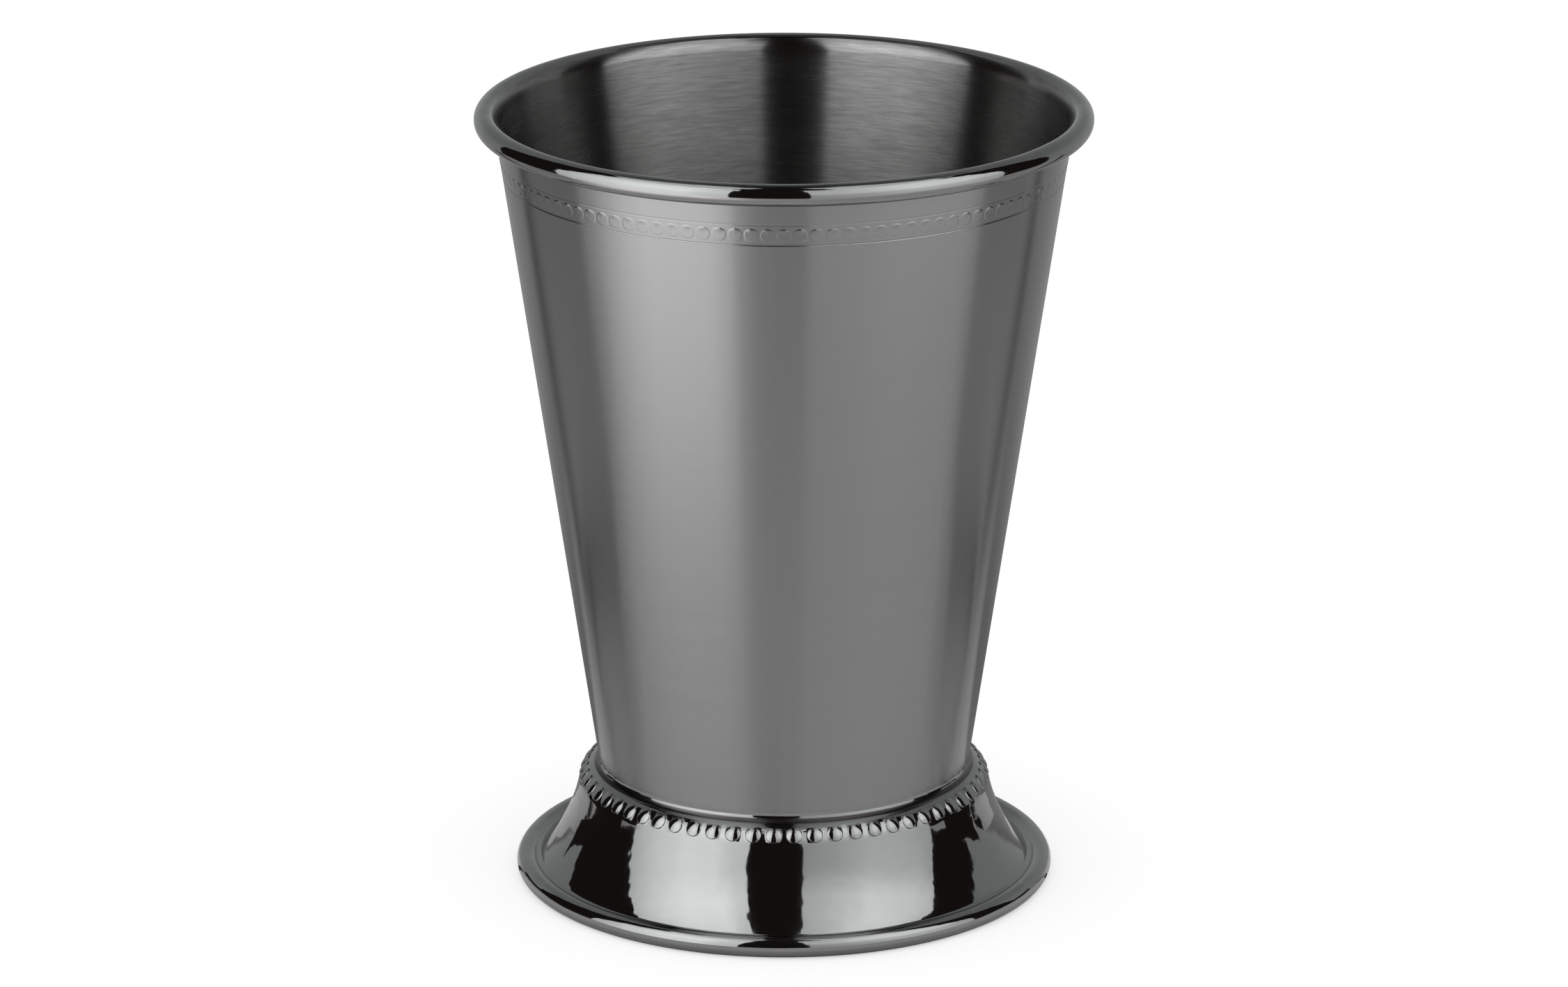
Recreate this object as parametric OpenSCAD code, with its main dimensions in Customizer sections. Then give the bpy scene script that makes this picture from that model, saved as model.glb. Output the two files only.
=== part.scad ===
// Julep cup: a tapered beaker with a rolled rim and a low band of beads, brazed into a stamped, beaded foot.
// The origin is the middle of the face that it stands on. Sections are drawn as [radius, height].

/* [Cup] */
// Outer diameter over the rolled rim
rim_outer_d = 83; // [78:0.5:88]
// Whole height, from the table to the top of the rim
cup_h = 108; // [100:1:118]
// Lean of the wall from upright, in degrees
wall_lean = 8.5; // [7.5:0.25:9.5]
// Thickness of the cup's sheet
cup_sheet = 0.6; // [0.5:0.05:0.75]
// Height of the underside of the cup's floor above the table
floor_z = 8; // [6:0.25:9]
// Outer radius of the corner between the wall and the floor
floor_corner_r = 3; // [2:0.25:4]

/* [Rolled rim] */
// Diameter of the roll
rim_roll_d = 2.96; // [2.6:0.02:3.2]
// Distance of the roll's middle from the outer face of the wall
rim_roll_out = 1.13; // [1.05:0.01:1.25]
// Radius of the flare by which the inside of the wall turns into the roll
rim_flare_r = 3; // [2.4:0.1:4]
// Gap that the end of a curl keeps from the sheet beside it, on the rim and on the foot
curl_gap = 0.1; // [0.05:0.05:0.25]

/* [Bead band under the rim] */
// Number of beads
band_beads = 112; // [90:1:118]
// Distance of the band's middle below the top of the rim
band_drop = 7.45; // [6:0.05:12]
// Diameter of one bead, which is low and flat
band_bead_d = 1.88; // [1.4:0.02:1.96]
// Height of one bead above the wall
band_bead_h = 0.08; // [0.06:0.01:0.12]
// Width of the slope round the edge of one bead
band_bead_edge = 0.14; // [0.1:0.02:0.2]
// Distance of each incised line from the band's middle, up and down
band_line_gap = 1.43; // [1.2:0.01:2]
// Width of an incised line
band_line_w = 0.24; // [0.16:0.02:0.4]
// Depth of an incised line
band_line_depth = 0.08; // [0.04:0.02:0.12]

/* [Foot] */
// Distance that the foot reaches out beyond the wall, measured from the wall at the height of the crest
foot_reach = 11.48; // [9.8:0.02:13.2]
// Height of the crest beside the wall above the table
foot_h = 15.45; // [14.6:0.05:17]
// Thickness of the foot's sheet
foot_sheet = 0.5; // [0.4:0.05:0.6]
// Outer radius of the fold where the sheet turns down beside the wall
fold_r = 0.65; // [0.62:0.01:0.8]
// Length of the sleeve that grips the wall below the fold
sleeve_l = 2.4; // [1.8:0.1:3]
// Radius of the rounded shoulder
shoulder_r = 3.6; // [3.2:0.05:4]
// Slope of the shoulder where it leaves the fold, in degrees
shoulder_slope = 24; // [18:1:30]
// Radius of the hollow flare below the shoulder
cove_r = 21.7; // [19:0.1:26]
// Radius of the groove between the flare and the rolled edge
groove_r = 0.54; // [0.4:0.02:0.7]
// Height of the bottom of the groove above the table
groove_z = 2.21; // [2:0.01:2.4]
// Diameter of the rolled edge
edge_roll_d = 2.96; // [2.8:0.02:3.1]
// Width of the flat that the rolled edge stands on
land_w = 1; // [0.8:0.1:1.2]

/* [Foot beads] */
// Number of beads
foot_beads = 62; // [48:1:66]
// Diameter of one bead
foot_bead_d = 2.2; // [1.8:0.05:2.3]
// Height of one bead above the shoulder
foot_bead_h = 0.26; // [0.2:0.02:0.4]
// Slope of the shoulder at the beads, in degrees, which places them on it
foot_bead_slope = 53; // [50:1:56]

/* [Joint] */
// Height of the braze fillet below the sleeve
braze_h = 0.8; // [0.5:0.05:1]

/* [Hidden] */
$fn = 120;
// Facets of a bead
bead_fn = 32;
// How deep the slope of a band bead runs on inside the wall, which is round where the bead is flat
bead_sink = 0.04;
// How far a bend's outline may stray from its true arc
arc_tolerance = 0.008;

function unit(angle) = [cos(angle), sin(angle)];
function heading(vector) = atan2(vector[1], vector[0]);
function leg(long_side, side) = sqrt(long_side * long_side - side * side);

// Angle of a triangle between its sides span and near, where far is the third side
function corner(span, near, far) = acos((span * span + near * near - far * far) / (2 * span * near));

// Radius of the ball whose cap has this width and height
function cap_r(width, height) = (width * width / 4 + height * height) / (2 * height);

// Points of an arc from one angle to another, close enough together to keep to the tolerance
function arc(centre, radius, from, to) =
    let (
        turn = 2 * acos(1 - min(arc_tolerance / radius, 1)),
        steps = max(1, ceil(abs(to - from) / turn))
    )
    [for (step = [0:steps]) centre + radius * unit(from + (to - from) * step / steps)];

// Directions along the wall and square to it
up_wall = unit(90 - wall_lean);
out_of_wall = unit(-wall_lean);
wall_side = heading(out_of_wall);

// Roll of the rim, which touches the rim's diameter and the cup's height
rim_roll_r = rim_roll_d / 2;
rim_roll = [rim_outer_d / 2 - rim_roll_r, cup_h - rim_roll_r];

// Outer face of the wall: the point of it beside the roll, and its radius at any height
wall_top = rim_roll - rim_roll_out * out_of_wall;
function wall_r(z) = wall_top[0] + (z - wall_top[1]) * tan(wall_lean);

// Flare between the inside of the wall and the roll, tangent to both
flare_in = rim_flare_r - rim_roll_out - cup_sheet;
rim_flare = rim_roll + flare_in * out_of_wall - leg(rim_flare_r - rim_roll_r, flare_in) * up_wall;
flare_end = heading(rim_roll - rim_flare);

// The rim's curl ends a gap short of the wall
rim_curl_end = wall_side - 180 + acos((rim_roll_out - curl_gap) / rim_roll_r);

// Corner between the wall and the floor
floor_corner_z = floor_z + floor_corner_r;
floor_corner = [wall_r(floor_corner_z) - floor_corner_r / cos(wall_lean), floor_corner_z];

// Fold of the foot beside the wall, which touches the wall and the foot's height
fold_z = foot_h - fold_r;
fold = [wall_r(fold_z) + fold_r / cos(wall_lean), fold_z];

// Shoulder, tangent to the fold where it leaves it
shoulder_start = 90 - shoulder_slope;
shoulder = fold - (shoulder_r - fold_r) * unit(shoulder_start);

// Rolled edge, pressed flat where it stands on the table
edge_roll_r = edge_roll_d / 2;
edge_roll = [wall_r(foot_h) + foot_reach - edge_roll_r, leg(edge_roll_r, land_w / 2)];
land_side = asin(land_w / edge_roll_d);

// Groove, tangent to the rolled edge
groove_mid_z = groove_z + groove_r;
groove = [edge_roll[0] - leg(edge_roll_r + groove_r, groove_mid_z - edge_roll[1]), groove_mid_z];
groove_end = heading(edge_roll - groove);

// Hollow flare, tangent to the shoulder above it and to the groove below it
cove_turn = corner(norm(groove - shoulder), shoulder_r + cove_r, cove_r - groove_r);
cove = shoulder + (shoulder_r + cove_r) * unit(heading(groove - shoulder) + cove_turn);
shoulder_end = heading(cove - shoulder);
cove_end = heading(groove - cove);

// The foot's curl ends a gap short of the groove's underside
edge_curl_turn = corner(norm(groove - edge_roll), edge_roll_r, groove_r + foot_sheet + curl_gap);
edge_curl_end = heading(groove - edge_roll) + edge_curl_turn;

// Sleeve of the foot, along the wall below the fold
sleeve_foot = fold - fold_r * out_of_wall - sleeve_l * up_wall;

// Braze fillet, which runs out into the wall at its toe and ends at the sleeve's outer corner
braze_toe = sleeve_foot - braze_h * up_wall;
braze_r = cap_r(2 * braze_h, foot_sheet);
braze_end = wall_side + 180 - acos(1 - foot_sheet / braze_r);

// Place of a foot bead on the shoulder, and the radius of its ball
foot_bead_side = 90 - foot_bead_slope;
foot_bead = shoulder + shoulder_r * unit(foot_bead_side);
foot_bead_r = cap_r(foot_bead_d, foot_bead_h);

// Middle of the bead band
band_z = cup_h - band_drop;
band_middle = [wall_r(band_z), band_z];

// Section of the cup's sheet: outside from the floor up and round the curl, then inside back down
module cup_profile() {
    polygon(concat(
        [[0, floor_z]],
        arc(floor_corner, floor_corner_r, -90, wall_side),
        arc(rim_flare, rim_flare_r - cup_sheet, wall_side + 180, flare_end),
        arc(rim_roll, rim_roll_r - cup_sheet, flare_end, rim_curl_end),
        arc(rim_roll, rim_roll_r, rim_curl_end, flare_end),
        arc(rim_flare, rim_flare_r, flare_end, wall_side + 180),
        arc(floor_corner, floor_corner_r - cup_sheet, wall_side, -90),
        [[0, floor_z + cup_sheet]]
    ));
}

// Section of the foot's sheet: outside from the sleeve down to the curl's end, then inside back up
module foot_profile() {
    polygon(concat(
        [sleeve_foot],
        arc(fold, fold_r, wall_side + 180, shoulder_start),
        arc(shoulder, shoulder_r, shoulder_start, shoulder_end),
        arc(cove, cove_r, shoulder_end + 180, cove_end + 360),
        arc(groove, groove_r, cove_end + 360, groove_end + 360),
        arc(edge_roll, edge_roll_r, groove_end + 180, land_side - 90),
        [[edge_roll[0] + land_w / 2, 0], [edge_roll[0] - land_w / 2, 0]],
        arc(edge_roll, edge_roll_r, -90 - land_side, edge_curl_end - 360),
        arc(edge_roll, edge_roll_r - foot_sheet, edge_curl_end - 360, groove_end + 180),
        arc(groove, groove_r + foot_sheet, groove_end + 360, cove_end + 360),
        arc(cove, cove_r + foot_sheet, cove_end + 360, shoulder_end + 180),
        arc(shoulder, shoulder_r - foot_sheet, shoulder_end, shoulder_start),
        arc(fold, fold_r - foot_sheet, shoulder_start, wall_side + 180),
        [sleeve_foot + foot_sheet * out_of_wall]
    ));
}

// Copies of a shape round the axis, each turned so that its top faces the given side
module ring_of(count, place, side) {
    for (i = [0:count - 1])
        rotate(i * 360 / count)
            translate([place[0], 0, place[1]])
                rotate([0, 90 - side, 0])
                    children();
}

// Round stud with a ball's cap, from a depth below the face that it stands on up to its height
module dome(radius, width, height, depth) {
    rotate_extrude($fn = bead_fn)
        intersection() {
            translate([0, height - radius])
                circle(r = radius, $fn = 2 * bead_fn);
            translate([0, -depth])
                square([width / 2, height + depth]);
        }
}

// Flat round stud with a sloping edge, rooted in the middle of the cup's sheet
module flat_bead() {
    top_r = band_bead_d / 2 - band_bead_edge;
    root_r = band_bead_d / 2 + band_bead_edge * bead_sink / band_bead_h;
    root = -cup_sheet / 2;
    rotate_extrude($fn = bead_fn)
        polygon([[0, root], [root_r, root], [root_r, -bead_sink], [top_r, band_bead_h], [0, band_bead_h]]);
}

// Deep drawn beaker with its rolled rim, bead band and incised lines
module cup_body() {
    line_r = cap_r(band_line_w, band_line_depth);
    color([0.45, 0.44, 0.44])
        difference() {
            union() {
                rotate_extrude() cup_profile();
                ring_of(band_beads, band_middle, wall_side)
                    flat_bead();
            }
            for (line = [band_line_gap, -band_line_gap])
                rotate_extrude()
                    translate(band_middle + line * up_wall + (line_r - band_line_depth) * out_of_wall)
                        circle(r = line_r, $fn = bead_fn);
        }
}

// Stamped foot, where each bead is a dome of the sheet with a dimple behind it
module foot() {
    color([0.38, 0.37, 0.37])
        difference() {
            union() {
                rotate_extrude() foot_profile();
                ring_of(foot_beads, foot_bead, foot_bead_side)
                    dome(foot_bead_r, foot_bead_d, foot_bead_h, foot_sheet / 2);
            }
            ring_of(foot_beads, foot_bead, foot_bead_side)
                dome(
                    foot_bead_r - foot_sheet,
                    foot_bead_d - foot_sheet,
                    foot_bead_h - foot_sheet,
                    2 * foot_sheet
                );
        }
}

// Fillet of filler metal in the corner between the wall and the end of the foot's sleeve
module braze_ring() {
    color([0.72, 0.66, 0.5])
        rotate_extrude()
            polygon(concat(
                [sleeve_foot],
                arc(braze_toe + braze_r * out_of_wall, braze_r, wall_side + 180, braze_end)
            ));
}

cup_body();
foot();
braze_ring();
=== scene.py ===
import math

import bpy
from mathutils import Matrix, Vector


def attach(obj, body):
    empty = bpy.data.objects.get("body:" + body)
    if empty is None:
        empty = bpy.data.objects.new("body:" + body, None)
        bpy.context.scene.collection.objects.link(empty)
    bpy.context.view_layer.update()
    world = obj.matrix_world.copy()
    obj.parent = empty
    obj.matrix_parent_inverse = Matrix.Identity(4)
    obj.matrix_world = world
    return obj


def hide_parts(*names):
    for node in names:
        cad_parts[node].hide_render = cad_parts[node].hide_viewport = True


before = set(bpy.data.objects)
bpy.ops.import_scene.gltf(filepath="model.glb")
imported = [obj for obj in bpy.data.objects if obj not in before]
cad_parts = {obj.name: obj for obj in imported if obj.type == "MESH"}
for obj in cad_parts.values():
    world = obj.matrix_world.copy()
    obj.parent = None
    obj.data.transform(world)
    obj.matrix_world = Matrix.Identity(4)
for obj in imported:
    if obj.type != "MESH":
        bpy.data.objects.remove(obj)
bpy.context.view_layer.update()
print("julep cup: frame loaded")

mm = 0.001
degree = math.pi / 180
weldGap = 0.002 * mm
sharpAngle = 35 * degree


def mathNode(nodes, link, operation, first, second):
    # first and second are numbers or sockets
    node = nodes.new("ShaderNodeMath")
    node.operation = operation
    for socket, value in zip(node.inputs, (first, second)):
        if isinstance(value, (int, float)):
            socket.default_value = value
        else:
            link(value, socket)
    return node.outputs[0]


# Plane geometry of the outlines, as (radius, height)

def along(angle):
    return Vector((math.cos(angle), math.sin(angle)))


def heading(vector):
    return math.atan2(vector[1], vector[0])


def leg(longSide, side):
    return math.sqrt(longSide * longSide - side * side)


def corner(span, near, far):
    # angle of a triangle between its sides span and near
    return math.acos((span * span + near * near - far * far) / (2 * span * near))


def capRadius(width, height):
    # ball whose cap has this width and height
    return (width * width / 4 + height * height) / (2 * height)


def arc(centre, radius, start, end, step=5 * degree):
    count = max(1, math.ceil(abs(end - start) / step))
    return [centre + radius * along(start + (end - start) * i / count) for i in range(count + 1)]


def straight(start, end, count):
    return [start.lerp(end, i / count) for i in range(count + 1)]


# A ring is one sector of mesh, repeated by Geometry Nodes and welded

class Sector:
    def __init__(self, repeats, columns):
        self.turn = 2 * math.pi / repeats
        self.columns = columns
        self.verts, self.faces, self.zones = [], [], []

    def place(self, point, angle):
        self.verts.append((point[0] * math.cos(angle), point[0] * math.sin(angle), point[1]))
        return len(self.verts) - 1

    def face(self, corners, zone):
        kept = []
        for vert in corners:
            spot = self.verts[vert]
            if all(Vector(spot) != Vector(self.verts[other]) for other in kept):
                kept.append(vert)
        if len(kept) > 2:
            self.faces.append(kept)
            self.zones.append(zone)

    def strip(self, points, zone):
        # rows of faces along an outline, with the material on its left
        angles = [self.turn * (k / self.columns - 0.5) for k in range(self.columns + 1)]
        rows = [[self.place(point, angle) for angle in angles] for point in points]
        for low, high in zip(rows, rows[1:]):
            for k in range(self.columns):
                self.face((low[k], low[k + 1], high[k + 1], high[k]), zone)

    def bead(self, surface, reach, radii, height, sides, zone):
        # a patch of the outline from -reach to reach with a round bead in its middle
        middle = surface(0)[0][0]
        halfTurn = self.turn / 2
        border = []
        for start, end, count in (((-1, -1), (1, -1), self.columns), ((1, -1), (1, 1), sides),
                                  ((1, 1), (-1, 1), self.columns), ((-1, 1), (-1, -1), sides)):
            for i in range(count):
                border.append(Vector(start).lerp(Vector(end), i / count))
        scale = Vector((middle * halfTurn, reach))

        def spot(flat):
            point, normal = surface(flat[1])
            return self.place(point + normal * height(flat), flat[0] / middle)

        centre = spot(Vector((0, 0)))
        edge = [Vector((b[0] * scale[0], b[1] * scale[1])) for b in border]
        rings = []
        for radius in radii:
            rings.append([spot(e.normalized() * radius) for e in edge])
        ringOut = radii[-1]
        rings.append([spot((e.normalized() * ringOut).lerp(e, 0.5)) for e in edge])
        rings.append([spot(e) for e in edge])
        count = len(edge)
        for i in range(count):
            self.face((centre, rings[0][i], rings[0][(i + 1) % count]), zone)
        for inner, outer in zip(rings, rings[1:]):
            for i in range(count):
                j = (i + 1) % count
                self.face((inner[i], outer[i], outer[j], inner[j]), zone)

    def mesh(self, name):
        mesh = bpy.data.meshes.new(name)
        mesh.from_pydata(self.verts, [], self.faces)
        attribute = mesh.attributes.new("zone", "INT", "FACE")
        attribute.data.foreach_set("value", self.zones)
        return mesh


def ringTree(finishes):
    # Geometry Nodes: copies of the sector round the axis, welded into one skin, with a finish for each zone
    tree = bpy.data.node_groups.new("ring of sectors", "GeometryNodeTree")
    sockets = tree.interface
    sockets.new_socket("Sector", in_out="INPUT", socket_type="NodeSocketGeometry")
    sockets.new_socket("Repeats", in_out="INPUT", socket_type="NodeSocketInt")
    sockets.new_socket("Weld", in_out="INPUT", socket_type="NodeSocketFloat")
    for i in range(finishes):
        sockets.new_socket("Finish %d" % i, in_out="INPUT", socket_type="NodeSocketMaterial")
    sockets.new_socket("Ring", in_out="OUTPUT", socket_type="NodeSocketGeometry")
    nodes, link = tree.nodes, tree.links.new
    given = nodes.new("NodeGroupInput")
    points = nodes.new("GeometryNodePoints")
    link(given.outputs["Repeats"], points.inputs["Count"])
    index = nodes.new("GeometryNodeInputIndex")
    step = mathNode(nodes, link, "DIVIDE", 2 * math.pi, given.outputs["Repeats"])
    turn = nodes.new("ShaderNodeCombineXYZ")
    link(mathNode(nodes, link, "MULTIPLY", index.outputs[0], step), turn.inputs["Z"])
    copies = nodes.new("GeometryNodeInstanceOnPoints")
    link(points.outputs[0], copies.inputs["Points"])
    link(given.outputs["Sector"], copies.inputs["Instance"])
    link(turn.outputs[0], copies.inputs["Rotation"])
    real = nodes.new("GeometryNodeRealizeInstances")
    link(copies.outputs[0], real.inputs[0])
    weld = nodes.new("GeometryNodeMergeByDistance")
    link(real.outputs[0], weld.inputs["Geometry"])
    link(given.outputs["Weld"], weld.inputs["Distance"])
    zone = nodes.new("GeometryNodeInputNamedAttribute")
    zone.data_type = "INT"
    zone.inputs["Name"].default_value = "zone"
    done = weld.outputs[0]
    for i in range(finishes):
        same = nodes.new("FunctionNodeCompare")
        same.data_type = "INT"
        same.operation = "EQUAL"
        link(zone.outputs["Attribute"], same.inputs[2])
        same.inputs[3].default_value = i
        paint = nodes.new("GeometryNodeSetMaterial")
        link(done, paint.inputs["Geometry"])
        link(same.outputs[0], paint.inputs["Selection"])
        link(given.outputs["Finish %d" % i], paint.inputs["Material"])
        done = paint.outputs[0]
    out = nodes.new("NodeGroupOutput")
    link(done, out.inputs[0])
    return tree


def ringPiece(name, sector, repeats, finishes):
    source = bpy.data.objects.new(name + ".sector", sector.mesh(name + ".sector"))
    bpy.context.scene.collection.objects.link(source)
    tree = ringTree(len(finishes))
    grow = source.modifiers.new("ring", "NODES")
    grow.node_group = tree
    named = {item.name: item.identifier for item in tree.interface.items_tree if item.in_out == "INPUT"}
    grow[named["Repeats"]] = repeats
    grow[named["Weld"]] = weldGap
    for i, finish in enumerate(finishes):
        grow[named["Finish %d" % i]] = finish
    bpy.context.view_layer.update()
    whole = source.evaluated_get(bpy.context.evaluated_depsgraph_get())
    mesh = bpy.data.meshes.new_from_object(whole)
    source.modifiers.remove(grow)
    bpy.data.objects.remove(source)
    mesh.name = name
    mesh.attributes.remove(mesh.attributes["zone"])
    mesh.shade_smooth()
    mesh.set_sharp_from_angle(angle=sharpAngle)
    piece = bpy.data.objects.new(name, mesh)
    bpy.context.scene.collection.objects.link(piece)
    print("julep cup: %s, %d faces" % (name, len(mesh.polygons)))
    return piece


# Finishes. A noise is given by its waves in a metre along X, Y and Z, its detail and its roughness

metalTone = (0.275, 0.272, 0.27)
grainTurn = 0.25  # a quarter turn, which lays the grain round the axis


class Finish:
    # a metal material and the few nodes that its pattern needs
    def __init__(self, name, tone, roughness, anisotropic=0.0):
        self.material = bpy.data.materials.new(name)
        self.material.use_nodes = True
        self.nodes = self.material.node_tree.nodes
        self.link = self.material.node_tree.links.new
        self.shader = self.nodes["Principled BSDF"]
        self.shader.inputs["Metallic"].default_value = 1.0
        self.shader.inputs["Base Color"].default_value = (*tone, 1)
        self.shader.inputs["Roughness"].default_value = roughness
        self.shader.inputs["Anisotropic"].default_value = anisotropic
        self.shader.inputs["Anisotropic Rotation"].default_value = grainTurn if anisotropic else 0.0
        self.place = self.nodes.new("ShaderNodeTexCoord").outputs["Object"]
        split = self.nodes.new("ShaderNodeSeparateXYZ")
        self.link(self.place, split.inputs[0])
        self.height = split.outputs["Z"]
        flat = self.nodes.new("ShaderNodeVectorMath")
        flat.operation = "MULTIPLY"
        flat.inputs[1].default_value = (1, 1, 0)
        self.link(self.place, flat.inputs[0])
        reach = self.nodes.new("ShaderNodeVectorMath")
        reach.operation = "LENGTH"
        self.link(flat.outputs[0], reach.inputs[0])
        self.reach = reach.outputs["Value"]
        # place whose third part is height less reach, for lines that run round the axis on any slope
        turned = self.nodes.new("ShaderNodeCombineXYZ")
        self.link(split.outputs["X"], turned.inputs["X"])
        self.link(split.outputs["Y"], turned.inputs["Y"])
        self.link(self.mixed(self.height, self.reach, "SUBTRACT"), turned.inputs["Z"])
        self.turned = turned.outputs[0]
        if anisotropic:
            grain = self.nodes.new("ShaderNodeTangent")
            grain.direction_type = "RADIAL"
            grain.axis = "Z"
            self.link(grain.outputs[0], self.shader.inputs["Tangent"])

    def noise(self, scale, detail, rough, place=None):
        spread = self.nodes.new("ShaderNodeMapping")
        spread.inputs["Scale"].default_value = scale
        self.link(place or self.place, spread.inputs["Vector"])
        noise = self.nodes.new("ShaderNodeTexNoise")
        noise.inputs["Scale"].default_value = 1.0
        noise.inputs["Detail"].default_value = detail
        noise.inputs["Roughness"].default_value = rough
        self.link(spread.outputs[0], noise.inputs["Vector"])
        return noise.outputs[0]

    def spread(self, value, low, high, start=0.3, end=0.7):
        # a noise lies mostly between 0.3 and 0.7
        ranged = self.nodes.new("ShaderNodeMapRange")
        ranged.inputs["From Min"].default_value = start
        ranged.inputs["From Max"].default_value = end
        ranged.inputs["To Min"].default_value = low
        ranged.inputs["To Max"].default_value = high
        self.link(value, ranged.inputs["Value"])
        return ranged.outputs[0]

    def mixed(self, first, second, operation="ADD"):
        return mathNode(self.nodes, self.link, operation, first, second)

    def shared(self, first, second, share):
        # a pattern from two noises, with this share of the second
        return self.mixed(self.spread(first, 0, 1 - share), self.spread(second, 0, share))

    def roughness(self, value):
        self.link(value, self.shader.inputs["Roughness"])

    def tone(self, value, dark, light):
        blend = self.nodes.new("ShaderNodeMix")
        blend.data_type = "RGBA"
        blend.inputs["A"].default_value = (*dark, 1)
        blend.inputs["B"].default_value = (*light, 1)
        self.link(value, blend.inputs["Factor"])
        self.shown = blend.outputs["Result"]
        self.link(self.shown, self.shader.inputs["Base Color"])

    def stain(self, share, colour):
        # a colour laid over the tone where share is 1
        blend = self.nodes.new("ShaderNodeMix")
        blend.data_type = "RGBA"
        self.link(share, blend.inputs["Factor"])
        self.link(self.shown, blend.inputs["A"])
        blend.inputs["B"].default_value = (*colour, 1)
        self.shown = blend.outputs["Result"]
        self.link(self.shown, self.shader.inputs["Base Color"])

    def bumps(self, *layers):
        # each layer is a height from 0 to 1 and its depth in metres
        last = None
        for height, depth in layers:
            bump = self.nodes.new("ShaderNodeBump")
            bump.inputs["Distance"].default_value = depth
            self.link(height, bump.inputs["Height"])
            if last:
                self.link(last, bump.inputs["Normal"])
            last = bump.outputs[0]
        self.link(last, self.shader.inputs["Normal"])


def shades(tone, factors):
    return [tuple(channel * factor for channel in tone) for factor in factors]


satinLook = {
    "plainRoughness": 0.218,
    "roughness": (0.206, 0.23),
    "tones": (0.955, 1.045),
    "lines": ((60, 60, 9000), 3, 0.6),
    "lineDepth": 0.0003 * mm,
    "grain": ((3500, 3500, 7000), 2, 0.6),
    "grainShare": 0.5,
}


def satinFinish():
    # outer wall: turned on a lathe, so its fine lines run round and its reflections blur up and down
    look = satinLook
    finish = Finish("satin wall", metalTone, look["plainRoughness"], 1.0)
    lines = finish.noise(*look["lines"])
    grain = finish.noise(*look["grain"])
    finish.roughness(finish.spread(lines, *look["roughness"]))
    finish.tone(finish.shared(lines, grain, look["grainShare"]), *shades(metalTone, look["tones"]))
    finish.bumps((lines, look["lineDepth"]))
    return finish.material


mirrorLook = {
    "plainRoughness": 0.04,
    "roughness": (0.03, 0.06),
    "tones": (0.95, 1.05),
    "haze": ((90, 90, 90), 4, 0.6),
    "lines": ((70, 70, 2600), 3, 0.6),
    "lineRoughness": 0.006,
    "lineShare": 0.25,
    "lineDepth": 0.00006 * mm,
    "waves": ((420, 420, 300), 2, 0.5),
    "waveDepth": 0.016 * mm,
    "swells": ((130, 130, 160), 2, 0.4),
    "swellDepth": 0.18 * mm,
}

# Painted shade: near-black brown patches painted in the crease where the wall meets the foot, between these
# reaches from the axis
crease = {
    "inner": (25.5 * mm, 25.6 * mm),
    "outer": (25.98 * mm, 26.1 * mm),
    "colour": (0.016, 0.012, 0.01),
    "patches": ((60, 60, 200), 2, 0.5),
    "cover": (0.75, 1),
    "roughness": 0.2,
}


def mirrorFinish():
    # rim roll and foot: buffed bright, with the slow waves and faint lines that buffing leaves
    look = mirrorLook
    finish = Finish("mirror polish", metalTone, look["plainRoughness"])
    waves = finish.noise(*look["waves"])
    swells = finish.noise(*look["swells"])
    haze = finish.noise(*look["haze"])
    lines = finish.noise(*look["lines"], finish.turned)
    patches = finish.noise(*crease["patches"])
    # painted shade in the crease where the wall meets the foot, in patches
    inCrease = finish.mixed(finish.spread(finish.reach, 0, 1, *crease["inner"]),
                            finish.spread(finish.reach, 1, 0, *crease["outer"]), "MULTIPLY")
    creaseShade = finish.mixed(inCrease, finish.spread(patches, *crease["cover"]), "MULTIPLY")
    buffed = finish.mixed(finish.spread(haze, *look["roughness"]),
                          finish.spread(lines, 0, look["lineRoughness"]))
    finish.roughness(finish.mixed(buffed, finish.spread(creaseShade, 0, crease["roughness"], 0, 1)))
    finish.tone(finish.shared(haze, lines, look["lineShare"]), *shades(metalTone, look["tones"]))
    # the painted crease shade laid over the tone
    finish.stain(creaseShade, crease["colour"])
    finish.bumps((lines, look["lineDepth"]), (waves, look["waveDepth"]), (swells, look["swellDepth"]))
    return finish.material


insideLook = {
    # painted shade: the inside's steel tone is darker than the outside's, for the shade inside the cup
    "tone": (0.23157, 0.22576, 0.22078),
    "plainRoughness": 0.26,
    "roughness": (0.245, 0.275),
    "flareHeights": (104.3 * mm, 105.6 * mm),
    "flareRoughness": (0.3, 0.2),  # the most that it may be at each of those heights
    "tones": (0.74, 1.26),
    "lines": ((150, 150, 6000), 3, 0.6),
    "lineDepth": 0.0006 * mm,
    "strokes": ((260, 260, 3300), 3, 0.65),
    "strokeDepth": 0.0016 * mm,
    "patches": ((90, 90, 300), 3, 0.6),
    "patchRoughness": 0.01,
    "patchShare": 0.25,
}


def insideFinish():
    # inner wall: coarser brushing in short strokes, also round the axis, and smoother on the flare; its tone
    # is painted darker than the outside's steel as shade inside the cup
    look = insideLook
    finish = Finish("brushed inside", look["tone"], look["plainRoughness"], 1.0)
    lines = finish.noise(*look["lines"])
    strokes = finish.noise(*look["strokes"])
    patches = finish.noise(*look["patches"])
    uneven = finish.spread(patches, -look["patchRoughness"], look["patchRoughness"])
    brushed = finish.mixed(finish.spread(lines, *look["roughness"]), uneven)
    smooth = finish.spread(finish.height, *look["flareRoughness"], *look["flareHeights"])
    finish.roughness(finish.mixed(brushed, smooth, "MINIMUM"))
    finish.tone(finish.shared(strokes, patches, look["patchShare"]), *shades(look["tone"], look["tones"]))
    finish.bumps((lines, look["lineDepth"]), (strokes, look["strokeDepth"]))
    return finish.material


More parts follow.
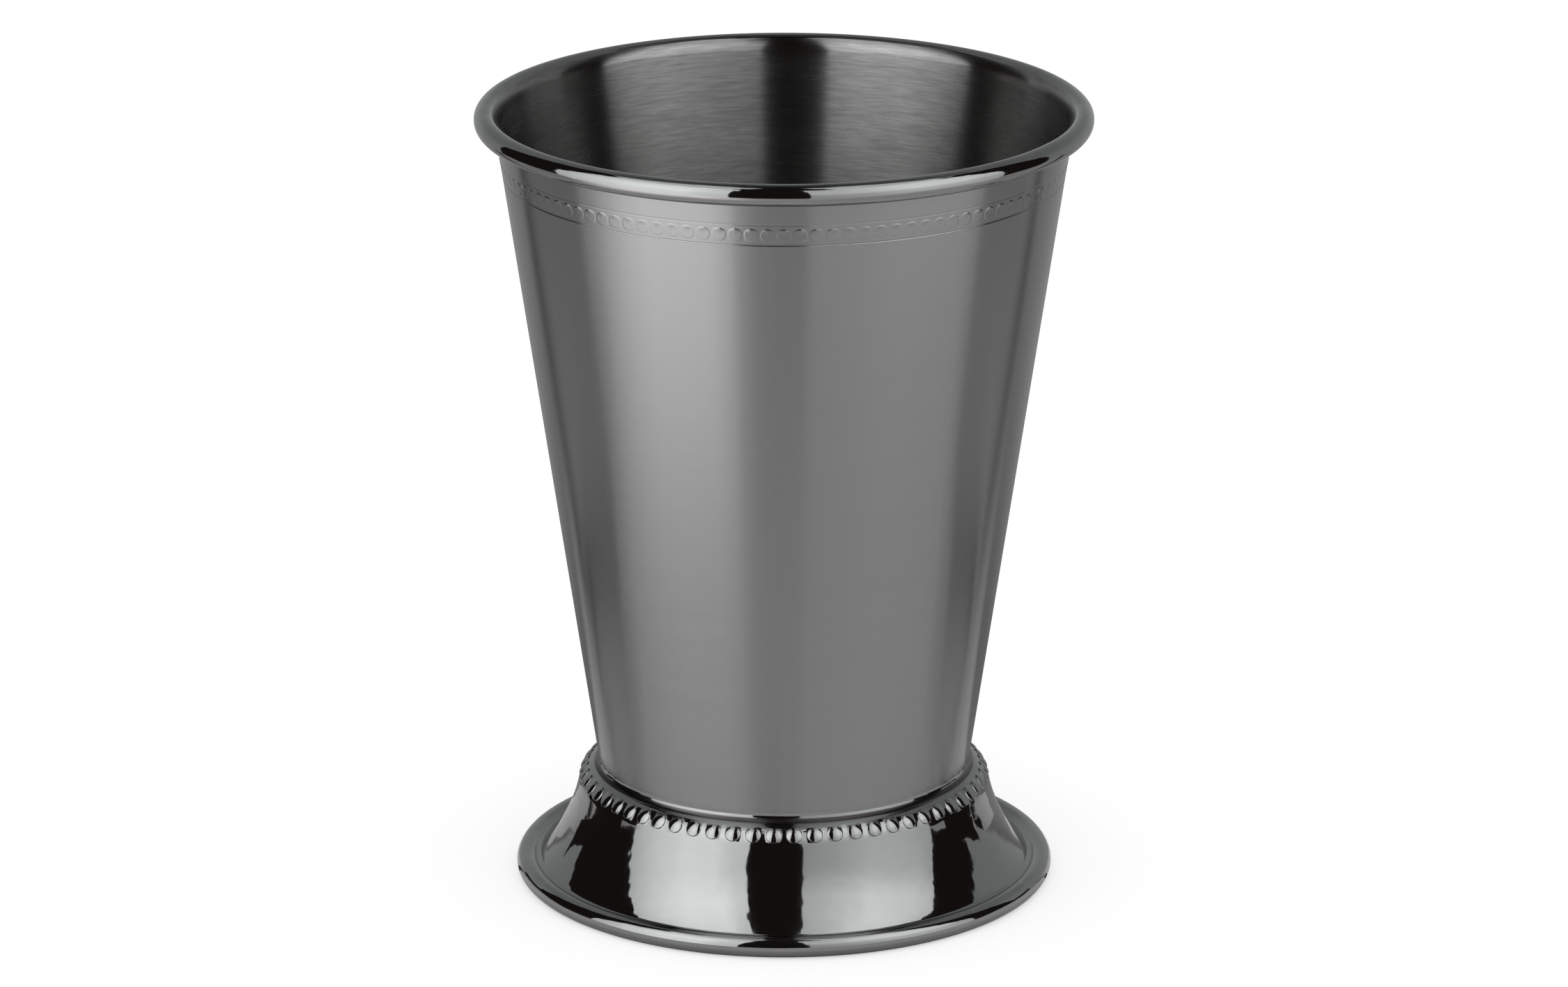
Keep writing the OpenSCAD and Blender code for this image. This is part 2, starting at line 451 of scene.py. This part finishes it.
underLook = {
    "tone": (0.2475, 0.2448, 0.243),
    "plainRoughness": 0.4,
    "roughness": (0.3, 0.42),
    "tones": (0.8, 1),
    "grain": ((1500, 1500, 1500), 3, 0.6),
    "grainDepth": 0.002 * mm,
    "stain": ((60, 60, 60), 4, 0.6),
    "stainRoughness": (-0.05, 0.08),
}


def underFinish():
    # underside of the floor and the foot's inside, left as pressed
    look = underLook
    finish = Finish("dull underside", look["tone"], look["plainRoughness"])
    grain = finish.noise(*look["grain"])
    stain = finish.noise(*look["stain"])
    finish.roughness(finish.mixed(finish.spread(grain, *look["roughness"]),
                                  finish.spread(stain, *look["stainRoughness"])))
    finish.tone(finish.spread(stain, 0, 1), *shades(metalTone, look["tones"]))
    finish.bumps((grain, look["grainDepth"]))
    return finish.material


brazeLook = {
    "tone": (0.5, 0.45, 0.36),
    "plainRoughness": 0.3,
    "roughness": (0.22, 0.5),
    "dark": (0.3, 0.26, 0.22),
    "light": (0.56, 0.51, 0.41),
    "ripple": ((900, 900, 400), 2, 0.5),
    "rippleDepth": 0.05 * mm,
    "scale": ((500, 500, 500), 4, 0.7),
    "scaleDepth": 0.01 * mm,
}


def brazeFinish():
    # filler metal as it flowed, a little yellower than the sheet
    look = brazeLook
    finish = Finish("braze", look["tone"], look["plainRoughness"])
    ripple = finish.noise(*look["ripple"])
    scale = finish.noise(*look["scale"])
    finish.roughness(finish.spread(scale, *look["roughness"]))
    finish.tone(finish.spread(scale, 0, 1), look["dark"], look["light"])
    finish.bumps((ripple, look["rippleDepth"]), (scale, look["scaleDepth"]))
    return finish.material


satin = satinFinish()
mirror = mirrorFinish()
inside = insideFinish()
under = underFinish()
braze = brazeFinish()
print("julep cup: finishes made")


# Cup body: drawn beaker with rolled rim, bead band and two turned lines

cup = {
    "rimOuter": 83 * mm,
    "height": 108 * mm,
    "lean": 8.5 * degree,
    "sheet": 0.6 * mm,
    "floorZ": 8 * mm,
    "cornerRadius": 3 * mm,
    "rollRadius": 1.48 * mm,
    "rollOut": 1.13 * mm,
    "flareRadius": 3 * mm,
    "curlGap": 0.1 * mm,
    "beads": 112,
    "bandDrop": 7.45 * mm,
    "bandReach": 1.1 * mm,  # half of the stretch of wall that a bead's patch takes
    "beadWide": 1.88 * mm,
    "beadRing": 0.013 * mm,  # height of the bead's face, which only its top rises over
    "beadRingEdge": 0.08 * mm,
    "beadTop": 0.0938 * mm,  # how far the bead's top rises over its face
    "beadTopEdge": 0.22 * mm,
    "topFocus": 6,  # the more, the narrower the raised top
    "topCurve": 2,  # the more, the faster it falls toward the bead's middle
    "lineGap": 1.43 * mm,
    "lineWide": 0.24 * mm,
    "lineDeep": 0.08 * mm,
    "lineMargin": 0.05 * mm,
    "upperLineDeep": 0.015 * mm,
    "filletRadius": 1.2 * mm,  # filler buffed bright between the wall and the foot's top
    "filletGap": 0.01 * mm,
    # how fine the mesh is: columns in a sector, sides and rings of a bead's patch, rows up each straight
    # stretch, and the turn of one facet along each arc
    "columns": 4,
    "beadSides": 8,
    "beadRings": (0.5, 0.3, 0.22, 0.16, 0.11, 0.07, 0.035, 0),  # mm in from the bead's edge
    "rows": {"floor": 4, "joint": 2, "wall": 4, "top": 3},
    "steps": {"bend": 8 * degree, "joint": 10 * degree, "flare": 8 * degree, "roll": 6 * degree,
              "rollInside": 20 * degree, "bendInside": 10 * degree},
    "lineSteps": 3,  # facets in half of a turned line
}
satinZone, mirrorZone, insideZone, underZone = range(4)

upWall = along(math.pi / 2 - cup["lean"])
outOfWall = along(-cup["lean"])
wallSide = -cup["lean"]
roll = Vector((cup["rimOuter"] / 2, cup["height"])) - Vector((1, 1)) * cup["rollRadius"]
wallTop = roll - cup["rollOut"] * outOfWall


def wallAt(z):
    # point of the wall's outer face at a height
    return Vector((wallTop[0] + (z - wallTop[1]) * math.tan(cup["lean"]), z))


def makeCup():
    sheet, flareRadius, rollRadius = cup["sheet"], cup["flareRadius"], cup["rollRadius"]
    flareIn = flareRadius - cup["rollOut"] - sheet
    flare = roll + flareIn * outOfWall - leg(flareRadius - rollRadius, flareIn) * upWall
    flareEnd = heading(roll - flare)
    curlEnd = wallSide - math.pi + math.acos((cup["rollOut"] - cup["curlGap"]) / rollRadius)
    cornerZ = cup["floorZ"] + cup["cornerRadius"]
    bend = Vector((wallAt(cornerZ)[0] - cup["cornerRadius"] / math.cos(cup["lean"]), cornerZ))
    bandMiddle = wallAt(cup["height"] - cup["bandDrop"])
    reach, margin = cup["bandReach"], cup["lineMargin"] * upWall
    rows, steps = cup["rows"], cup["steps"]
    sector = Sector(cup["beads"], cup["columns"])

    def line(side, depth):
        # section of a turned line across the wall, from its lower edge to its upper edge
        ball = capRadius(cup["lineWide"], depth)
        turn = math.asin(cup["lineWide"] / 2 / ball)
        hollow = bandMiddle + side * cup["lineGap"] * upWall + (ball - depth) * outOfWall
        back = wallSide + math.pi
        return arc(hollow, ball, back + turn, back - turn, turn / cup["lineSteps"])

    def bandSurface(up):
        return bandMiddle + up * upWall, outOfWall

    edgeEnd = cup["beadWide"] / 2

    def slope(flat, width):
        # 1 on the bead, let down to 0 over this width at its edge
        share = min(max((flat.length - edgeEnd) / width + 1, 0), 1)
        return (1 + math.cos(math.pi * share)) / 2

    def beadHeight(flat):
        # a low flat disc, struck deepest along its top
        up = max(flat[1] / max(flat.length, cup["beadRingEdge"]), 0) ** cup["topFocus"]
        out = (flat.length / edgeEnd) ** cup["topCurve"]
        return (cup["beadRing"] * slope(flat, cup["beadRingEdge"])
                + cup["beadTop"] * up * out * slope(flat, cup["beadTopEdge"]))

    lower, upper = line(-1, cup["lineDeep"]), line(1, cup["upperLineDeep"])
    fold, foldRadius = foldCentre(), foot["foldRadius"]
    filletRadius, gap = cup["filletRadius"], cup["filletGap"]
    # the fillet's arc touches the wall and a bend that is wider than the fold by the gap
    rise = math.sqrt((2 * filletRadius + gap) * (2 * foldRadius + gap))
    hollow = fold + rise * upWall + (filletRadius - foldRadius) * outOfWall
    touch = heading(hollow - fold)
    foldSide = fold - foldRadius * outOfWall
    fillet = arc(hollow, filletRadius, touch - math.pi, wallSide - math.pi)
    # outside, from the floor's middle up to the rim
    outerBend = arc(bend, cup["cornerRadius"], -math.pi / 2, wallSide, steps["bend"])
    sector.strip(straight(Vector((0, cup["floorZ"])), outerBend[0], rows["floor"]) + outerBend[1:], underZone)
    sector.strip(straight(outerBend[-1], foldSide, rows["joint"]), satinZone)
    overFold = arc(fold, foldRadius + gap, wallSide + math.pi, touch, steps["joint"])[1:-1]
    sector.strip([foldSide] + overFold + fillet, mirrorZone)
    sector.strip(straight(fillet[-1], lower[0] - margin, rows["wall"]), satinZone)
    sector.strip([lower[0] - margin] + lower + [lower[-1] + margin], satinZone)
    sector.strip([lower[-1] + margin, bandSurface(-reach)[0]], satinZone)
    radii = [edgeEnd - back * mm for back in cup["beadRings"]]
    sector.bead(bandSurface, reach, radii, beadHeight, cup["beadSides"], satinZone)
    sector.strip([bandSurface(reach)[0], upper[0] - margin], satinZone)
    sector.strip([upper[0] - margin] + upper + [upper[-1] + margin], satinZone)
    outerFlare = arc(flare, flareRadius - sheet, wallSide + math.pi, flareEnd, steps["flare"])
    sector.strip(straight(upper[-1] + margin, outerFlare[0], rows["top"]), satinZone)
    sector.strip(outerFlare, mirrorZone)
    # round the rim's roll and back over it
    sector.strip(arc(roll, rollRadius - sheet, flareEnd, curlEnd, steps["rollInside"]), mirrorZone)
    rollEdge = roll + (rollRadius - sheet) * along(curlEnd)
    sector.strip([rollEdge] + arc(roll, rollRadius, curlEnd, flareEnd, steps["roll"]), mirrorZone)
    # inside, from the rim down to the floor's middle
    innerFlare = arc(flare, flareRadius, flareEnd, wallSide + math.pi)
    sector.strip(innerFlare, insideZone)
    innerBend = arc(bend, cup["cornerRadius"] - sheet, wallSide, -math.pi / 2, steps["bendInside"])
    sector.strip(straight(innerFlare[-1], innerBend[0], rows["wall"]) + innerBend[1:], insideZone)
    sector.strip(straight(innerBend[-1], Vector((0, cup["floorZ"] + sheet)), rows["floor"]), insideZone)
    piece = ringPiece("cupBody", sector, cup["beads"], [satin, mirror, inside, under])
    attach(piece, "root")
    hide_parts("cup_body")


# Foot: stamped from sheet, with beads pushed out from behind, its top folded over into a sleeve on the wall
# and its bottom edge rolled

foot = {
    "reach": 11.48 * mm,
    "height": 15.45 * mm,
    "sheet": 0.5 * mm,
    "foldRadius": 0.65 * mm,
    "sleeve": 2.4 * mm,
    "shoulderRadius": 3.6 * mm,
    "shoulderSlope": 24 * degree,
    "coveRadius": 21.7 * mm,
    "grooveRadius": 0.54 * mm,
    "grooveZ": 2.21 * mm,
    "edgeRadius": 1.48 * mm,
    "land": 1 * mm,
    "curlGap": 0.1 * mm,
    "beads": 62,
    "beadWide": 2.2 * mm,
    "beadHigh": 0.26 * mm,
    "beadSlope": 53 * degree,
    "beadEdge": 0.1 * mm,
    "beadTurn": 22.5 * degree,  # half of the shoulder's turn that a bead's patch takes
    # how fine the mesh is, as for the cup
    "columns": 6,
    "beadSides": 6,
    "beadRings": (0.25, 0.5, 0.75, 0.93),  # shares of the reach to the bead's edge
    "edgeRings": (0, 0.25, 0.5, 0.75, 1),  # shares of the edge's width
    "dimpleSides": 4,
    "dimpleInset": 0.4 * mm,
    "steps": {"curl": 9 * degree, "edge": 6 * degree, "groove": 9 * degree, "cove": 3 * degree,
              "shoulder": 4 * degree, "fold": 8 * degree, "foldInside": 20 * degree,
              "shoulderInside": 8 * degree, "coveInside": 5 * degree, "grooveInside": 15 * degree,
              "edgeInside": 20 * degree},
}


def foldCentre():
    # middle of the bend at the foot's top, which touches the wall
    z = foot["height"] - foot["foldRadius"]
    return Vector((wallAt(z)[0] + foot["foldRadius"] / math.cos(cup["lean"]), z))


def makeFoot():
    sheet, foldRadius, shoulderRadius = foot["sheet"], foot["foldRadius"], foot["shoulderRadius"]
    coveRadius, grooveRadius, edgeRadius = foot["coveRadius"], foot["grooveRadius"], foot["edgeRadius"]
    fold = foldCentre()
    shoulderStart = math.pi / 2 - foot["shoulderSlope"]
    shoulder = fold - (shoulderRadius - foldRadius) * along(shoulderStart)
    edge = Vector((wallAt(foot["height"])[0] + foot["reach"] - edgeRadius, leg(edgeRadius, foot["land"] / 2)))
    landSide = math.asin(foot["land"] / 2 / edgeRadius)
    grooveMidZ = foot["grooveZ"] + grooveRadius
    groove = Vector((edge[0] - leg(edgeRadius + grooveRadius, grooveMidZ - edge[1]), grooveMidZ))
    grooveEnd = heading(edge - groove)
    coveTurn = corner((groove - shoulder).length, shoulderRadius + coveRadius, coveRadius - grooveRadius)
    cove = shoulder + (shoulderRadius + coveRadius) * along(heading(groove - shoulder) + coveTurn)
    shoulderEnd = heading(cove - shoulder)
    coveEnd = heading(groove - cove)
    curlTurn = corner((groove - edge).length, edgeRadius, grooveRadius + sheet + foot["curlGap"])
    curlEnd = heading(groove - edge) + curlTurn
    sleeveFoot = fold - foldRadius * outOfWall - foot["sleeve"] * upWall

    beadSide = math.pi / 2 - foot["beadSlope"]
    beadBall = capRadius(foot["beadWide"], foot["beadHigh"])
    ballOut = shoulderRadius + foot["beadHigh"] - beadBall
    roundShare = (shoulder + ballOut * along(beadSide))[0] / (shoulder + shoulderRadius * along(beadSide))[0]
    edgeEnd = foot["beadWide"] / 2
    edgeStart = edgeEnd - foot["beadEdge"]

    def ballHeight(flat, ball, base, end):
        # height of a bead's ball above an arc of the shoulder, let down to the arc at the bead's edge
        turn = flat[1] / base
        across = roundShare * flat[0] * flat[0] + (ballOut * math.sin(turn)) ** 2
        height = ballOut * math.cos(turn) + math.sqrt(ball * ball - across) - base
        share = min(max((flat.length - end) / foot["beadEdge"] + 1, 0), 1)
        return height * (1 + math.cos(math.pi * share)) / 2

    def beadHeight(flat):
        return ballHeight(flat, beadBall, shoulderRadius, edgeEnd)

    def dimpleHeight(flat):
        return ballHeight(flat, beadBall - sheet, shoulderRadius - sheet, edgeEnd - sheet / 2)

    def outerSurface(up):
        side = along(beadSide + up / shoulderRadius)
        return shoulder + shoulderRadius * side, side

    def innerSurface(up):
        radius = shoulderRadius - sheet
        side = along(beadSide - up / radius)
        return shoulder + radius * side, side

    steps, beadTurn = foot["steps"], foot["beadTurn"]
    # a whole turn, and the ways straight down and in to the wall
    whole, down, inward = 2 * math.pi, -math.pi / 2, wallSide + math.pi
    sector = Sector(foot["beads"], foot["columns"])
    low, high = beadSide - beadTurn, beadSide + beadTurn
    # outside, from the curl's end up to the sleeve
    curl = arc(edge, edgeRadius, curlEnd - whole, down - landSide, steps["curl"])
    sector.strip([edge + (edgeRadius - sheet) * along(curlEnd - whole)] + curl, mirrorZone)
    sector.strip([edge + edgeRadius * along(down + side) for side in (-landSide, landSide)], mirrorZone)
    sector.strip(arc(edge, edgeRadius, landSide + down, grooveEnd + math.pi, steps["edge"]), mirrorZone)
    sector.strip(arc(groove, grooveRadius, grooveEnd + whole, coveEnd + whole, steps["groove"]), mirrorZone)
    sector.strip(arc(cove, coveRadius, coveEnd + whole, shoulderEnd + math.pi, steps["cove"]), mirrorZone)
    sector.strip(arc(shoulder, shoulderRadius, shoulderEnd, low, steps["shoulder"]), mirrorZone)
    radii = [edgeStart * share for share in foot["beadRings"]]
    radii += [edgeStart + foot["beadEdge"] * share for share in foot["edgeRings"]]
    sector.bead(outerSurface, shoulderRadius * beadTurn, radii, beadHeight, foot["beadSides"], mirrorZone)
    sector.strip(arc(shoulder, shoulderRadius, high, shoulderStart, steps["shoulder"]), mirrorZone)
    sector.strip(arc(fold, foldRadius, shoulderStart, inward, steps["fold"]), mirrorZone)
    sleeveEdge = sleeveFoot + sheet * outOfWall
    sector.strip([fold + foldRadius * along(inward), sleeveFoot, sleeveEdge], underZone)
    # inside, from the sleeve back down to the curl's end
    foldIn = arc(fold, foldRadius - sheet, inward, shoulderStart, steps["foldInside"])
    sector.strip([sleeveEdge] + foldIn, underZone)
    inner = shoulderRadius - sheet
    sector.strip(arc(shoulder, inner, shoulderStart, high, steps["shoulderInside"]), underZone)
    radii = [edgeStart - sheet / 2 + shift for shift in (-foot["dimpleInset"], 0, foot["beadEdge"])]
    sector.bead(innerSurface, inner * beadTurn, radii, dimpleHeight, foot["dimpleSides"], underZone)
    sector.strip(arc(shoulder, inner, low, shoulderEnd, steps["shoulderInside"]), underZone)
    coveIn = arc(cove, coveRadius + sheet, shoulderEnd + math.pi, coveEnd + whole, steps["coveInside"])
    sector.strip(coveIn, underZone)
    grooveIn = arc(groove, grooveRadius + sheet, coveEnd + whole, grooveEnd + whole, steps["grooveInside"])
    sector.strip(grooveIn, underZone)
    edgeIn = arc(edge, edgeRadius - sheet, grooveEnd + math.pi, curlEnd - whole, steps["edgeInside"])
    sector.strip(edgeIn, underZone)
    piece = ringPiece("footRing", sector, foot["beads"], [satin, mirror, inside, under])
    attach(piece, "root")
    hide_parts("foot")


makeCup()
makeFoot()
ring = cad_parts["braze_ring"]
for slot in ring.material_slots:
    slot.material = braze
print("julep cup: pieces made")


# Studio: pale floor under a dark tent with two tall soft panels, two overhead and a grey back. On the table
# lie pools of glow, veils that darken it and two dark seams, and two low dark boards stand there.
# The floor shows everywhere, and everything else only in the metal.
# Sides are degrees round the axis: 0 faces the camera, plus is to its right

studio = {
    "floorSide": 6.0,
    "floorTone": 0.8,
    "floorGlow": 0.45,  # added for the camera alone
    "worldLevel": 0.82,
    "tentRadius": 0.35,
    "tentMiddle": 0.06,
    "tentHeights": (-9.6, 90),
    "tentCover": 1.03,  # size of the dark tent against the shell that its panels lie on
    "tentTone": (0.02, 0.0165, 0.015),
    "panelTint": (0.965, 1.0, 1.01),
    "poolTint": (1.02, 0.99, 0.995),
    "poolHeight": 0.0005,
    "seamStart": 0.03,
    "seamSpan": (0.002, 0.33),  # metres along it
    "seamHalfWide": 0.055,  # half width for each metre of length
    "boardRadius": 0.1,
    "boardSpan": (0.001, 0.0135),  # metres up from the table
    "cardStep": 4,  # degrees, for cards that run round the axis
    "cardRows": 12,
}

# Each seam is a dark strip on the table: the side that it starts from and the side that it heads for
seams = {
    "leftSeam": (-66.7, -133.4),
    "rightSeam": (63.5, 127),
}

# Each panel: sides, heights in degrees over the tent's middle, level, and the level's course along both
panels = {
    "leftPanel": ((-85.3, -19), (-12, 60), 2.55,
                  [(-85.3, 0.56), (-76, 0.72), (-65, 0.88), (-52, 1), (-36, 1), (-26, 0.8), (-19, 0.74)],
                  [(-12, 0.86), (10, 0.88), (30, 1), (45, 0.93), (60, 0.8)]),
    "rightPanel": ((9.5, 82.4), (-12, 60), 2.2,
                   [(9.5, 0.6), (25, 0.72), (36, 0.86), (46, 1), (58, 0.98), (72, 0.9), (82.4, 0.72)],
                   [(-12, 0.58), (8, 0.62), (14, 0.7), (25, 0.92), (40, 0.94), (60, 0.86)]),
    "overheadLeft": ((-180, -24), (60, 83), 1.3,
                     [(-180, 0.05), (-105, 0.15), (-85, 1), (-24, 1)], [(60, 1), (76, 1), (83, 0.3)]),
    "overheadRight": ((24, 180), (60, 83), 1.3,
                      [(24, 1), (85, 1), (105, 0.15), (180, 0.05)], [(60, 1), (76, 1), (83, 0.3)]),
    "back": ((107.5, 238.3), (-12, 60), 0.42,
             [(107.5, 1), (238.3, 1)], [(-12, 1), (14, 1), (24, 0.8), (60, 0.6)]),
}

# Each pool: sides, reach out from the axis in metres, level, and the level's course along both
pools = {
    "leftPool": ((-89, -1), (0.045, 0.345), 1.5,
                 [(-89, 0), (-79, 0.12), (-65, 0.75), (-55, 1), (-29, 1), (-20, 0.55), (-10, 0.08), (-1, 0)],
                 [(0.045, 0.05), (0.075, 0.05), (0.11, 0.07), (0.14, 0.22), (0.17, 0.6), (0.2, 0.86),
                  (0.345, 1)]),
    "rightPool": ((9, 83), (0.165, 0.345), 0.4,
                  [(9, 0.5), (40, 1), (70, 0.8), (83, 0.6)],
                  [(0.165, 0), (0.2, 0.1), (0.26, 0.5), (0.345, 1)]),
    "nearPool": ((-180, 180), (0.0375, 0.12), 0.15,
                 [(-180, 0), (-145, 0), (-125, 1), (125, 1), (145, 0), (180, 0)],
                 [(0.0375, 1), (0.06, 0.7), (0.12, 0)]),
}

# Each veil takes light off the table at its sides and behind, as a share of what is there
veils = {
    "leftVeil": ((-132, -77), (0.04, 0.345), 0.34,
                 [(-132, 1), (-84, 1), (-77, 0)], [(0.04, 0.5), (0.1, 0.6), (0.2, 1), (0.345, 1)]),
    "rightVeil": ((77, 126), (0.04, 0.345), 0.26,
                  [(77, 0), (84, 1), (126, 1)], [(0.04, 0.5), (0.1, 0.6), (0.2, 1), (0.345, 1)]),
    "backVeil": ((126, 228), (0.04, 0.345), 1.0,
                 [(126, 1), (228, 1)], [(0.04, 0.68), (0.1, 0.68), (0.2, 0.48), (0.345, 0.4)]),
}

# Low dark boards that stand on the table, only high enough to show in the foot: their sides
boards = {
    "leftBoard": (-122, -86),
    "rightBoard": (86, 108),
}


def courseRamp(nodes, link, value, span, stops):
    ramp = nodes.new("ShaderNodeValToRGB")
    elements = ramp.color_ramp.elements
    for at, level in stops[1:-1]:
        elements.new((at - span[0]) / (span[1] - span[0]))
    for element, (at, level) in zip(elements, stops):
        element.color = (level, level, level, 1)
    link(value, ramp.inputs[0])
    return ramp.outputs[0]


def courseLevel(nodes, link, level, first, second):
    # a level that follows a course along both of a card's ways
    uv = nodes.new("ShaderNodeUVMap")
    axes = nodes.new("ShaderNodeSeparateXYZ")
    link(uv.outputs[0], axes.inputs[0])
    courses = [courseRamp(nodes, link, axes.outputs["X"], *first),
               courseRamp(nodes, link, axes.outputs["Y"], *second)]
    return mathNode(nodes, link, "MULTIPLY", mathNode(nodes, link, "MULTIPLY", *courses), level)


def bareMaterial(name):
    # a material with an output and nothing else, and what adds nodes and links to it
    material = bpy.data.materials.new(name)
    material.use_nodes = True
    nodes, link = material.node_tree.nodes, material.node_tree.links.new
    nodes.clear()
    return material, nodes, link, nodes.new("ShaderNodeOutputMaterial").inputs["Surface"]


def added(nodes, link, first, second):
    # two shaders laid over each other
    both = nodes.new("ShaderNodeAddShader")
    link(first, both.inputs[0])
    link(second, both.inputs[1])
    return both.outputs[0]


def veilMaterial(name, level, first, second):
    material, nodes, link, surface = bareMaterial(name)
    left = mathNode(nodes, link, "SUBTRACT", 1, courseLevel(nodes, link, level, first, second))
    through = nodes.new("ShaderNodeBsdfTransparent")
    link(left, through.inputs["Color"])
    link(through.outputs[0], surface)
    return material


def glowMaterial(name, tint, level, first=None, second=None, clear=False):
    # even glow, or one that follows a course along both of the card's ways, and clear if it lets through
    # what lies behind it
    material, nodes, link, surface = bareMaterial(name)
    glow = nodes.new("ShaderNodeEmission")
    glow.inputs["Color"].default_value = (*tint, 1)
    glow.inputs["Strength"].default_value = level
    shown = glow.outputs[0]
    if first:
        link(courseLevel(nodes, link, level, first, second), glow.inputs["Strength"])
    if clear:
        shown = added(nodes, link, shown, nodes.new("ShaderNodeBsdfTransparent").outputs[0])
    link(shown, surface)
    return material


def stagePiece(name, verts, faces, uvs, material, shown=False):
    mesh = bpy.data.meshes.new(name)
    mesh.from_pydata(verts, [], faces)
    layer = mesh.uv_layers.new(name="UVMap")
    for loop in mesh.loops:
        layer.data[loop.index].uv = uvs[loop.vertex_index]
    mesh.materials.append(material)
    piece = bpy.data.objects.new(name, mesh)
    bpy.context.scene.collection.objects.link(piece)
    piece.visible_camera = piece.visible_diffuse = piece.visible_shadow = shown


def gridCard(name, first, second, place, material):
    # card over the spans of its two ways, with its place given by a function of both
    across, upward = first[1] - first[0], second[1] - second[0]
    columns = max(1, math.ceil(across / studio["cardStep"]))
    rows = studio["cardRows"]
    verts, faces, uvs = [], [], []
    for i in range(columns + 1):
        for j in range(rows + 1):
            uvs.append((i / columns, j / rows))
            verts.append(place(first[0] + across * (i / columns), second[0] + upward * (j / rows)))
    for i in range(columns):
        for j in range(rows):
            near = i * (rows + 1) + j
            faces.append((near, near + 1, near + rows + 2, near + rows + 1))
    stagePiece(name, verts, faces, uvs, material)


def onTent(side, height):
    radius = studio["tentRadius"]
    out = radius * math.cos(height * degree)
    return (out * math.sin(side * degree), -out * math.cos(side * degree),
            studio["tentMiddle"] + radius * math.sin(height * degree))


def onCover(side, height):
    # just outside the tent's panels
    return tuple(studio["tentCover"] * at for at in onTent(side, height))


def onTable(side, reach):
    return (reach * math.sin(side * degree), -reach * math.cos(side * degree), studio["poolHeight"])


def underPools(side, reach):
    return (*onTable(side, reach)[:2], studio["poolHeight"] / 2)


def onBoard(side, height):
    return (*onTable(side, studio["boardRadius"])[:2], height)


def seamPlace(start, towards):
    # the place on a seam, given how far across from -1 to 1 and how far along in metres
    first = Vector(onTable(start, studio["seamStart"]))
    ahead = Vector((math.sin(towards * degree), -math.cos(towards * degree), 0))
    aside = Vector((-ahead[1], ahead[0], 0))
    return lambda across, far: first + far * ahead + across * far * studio["seamHalfWide"] * aside


def floorMaterial():
    material, nodes, link, surface = bareMaterial("pale floor")
    paper = nodes.new("ShaderNodeBsdfDiffuse")
    paper.inputs["Color"].default_value = (studio["floorTone"],) * 3 + (1,)
    glow = nodes.new("ShaderNodeEmission")
    path = nodes.new("ShaderNodeLightPath")
    strength = mathNode(nodes, link, "MULTIPLY", path.outputs["Is Camera Ray"], studio["floorGlow"])
    link(strength, glow.inputs["Strength"])
    link(added(nodes, link, paper.outputs[0], glow.outputs[0]), surface)
    return material


def makeStudio():
    side = studio["floorSide"] / 2
    corners = [(-side, -side, 0), (side, -side, 0), (side, side, 0), (-side, side, 0)]
    stagePiece("floor", corners, [(0, 1, 2, 3)], [(0, 0), (1, 0), (1, 1), (0, 1)], floorMaterial(), True)
    dark = glowMaterial("dark cloth", studio["tentTone"], 1.0)
    gridCard("tent", (-180, 180), studio["tentHeights"], onCover, dark)
    for name, (sides, heights, level, across, upward) in panels.items():
        material = glowMaterial(name, studio["panelTint"], level, (sides, across), (heights, upward))
        gridCard(name, sides, heights, onTent, material)
    for name, (sides, reach, level, across, outward) in pools.items():
        material = glowMaterial(name, studio["poolTint"], level, (sides, across), (reach, outward), True)
        gridCard(name, sides, reach, onTable, material)
    for name, (sides, reach, level, across, outward) in veils.items():
        material = veilMaterial(name, level, (sides, across), (reach, outward))
        gridCard(name, sides, reach, underPools, material)
    for name, sides in boards.items():
        gridCard(name, sides, studio["boardSpan"], onBoard, dark)
    for name, (start, towards) in seams.items():
        gridCard(name, (-1, 1), studio["seamSpan"], seamPlace(start, towards), dark)

    # the world is full white to the camera and in reflections, and dimmer where it lights the floor
    world = bpy.data.worlds.new("studio")
    bpy.context.scene.world = world
    world.use_nodes = True
    nodes, link = world.node_tree.nodes, world.node_tree.links.new
    back = nodes["Background"]
    path = nodes.new("ShaderNodeLightPath")
    shown = mathNode(nodes, link, "MAXIMUM", path.outputs["Is Camera Ray"], path.outputs["Is Glossy Ray"])
    level = nodes.new("ShaderNodeMapRange")
    level.inputs["To Min"].default_value = studio["worldLevel"]
    level.inputs["To Max"].default_value = 1.0
    link(shown, level.inputs["Value"])
    back.inputs["Color"].default_value = (1, 1, 1, 1)
    link(level.outputs[0], back.inputs["Strength"])


view = {
    "place": (0, -0.9915, 0.36665),
    "tilt": 72.48 * degree,
    "lens": 175.76,
    "sensorWide": 36,
}


def makeCamera():
    data = bpy.data.cameras.new("camera")
    data.sensor_width = view["sensorWide"]
    data.lens = view["lens"]
    camera = bpy.data.objects.new("camera", data)
    camera.location = view["place"]
    camera.rotation_euler = (view["tilt"], 0, 0)
    bpy.context.scene.collection.objects.link(camera)
    bpy.context.scene.camera = camera


makeStudio()
makeCamera()
bpy.context.scene.view_settings.view_transform = "Standard"
print("julep cup: studio and camera made")
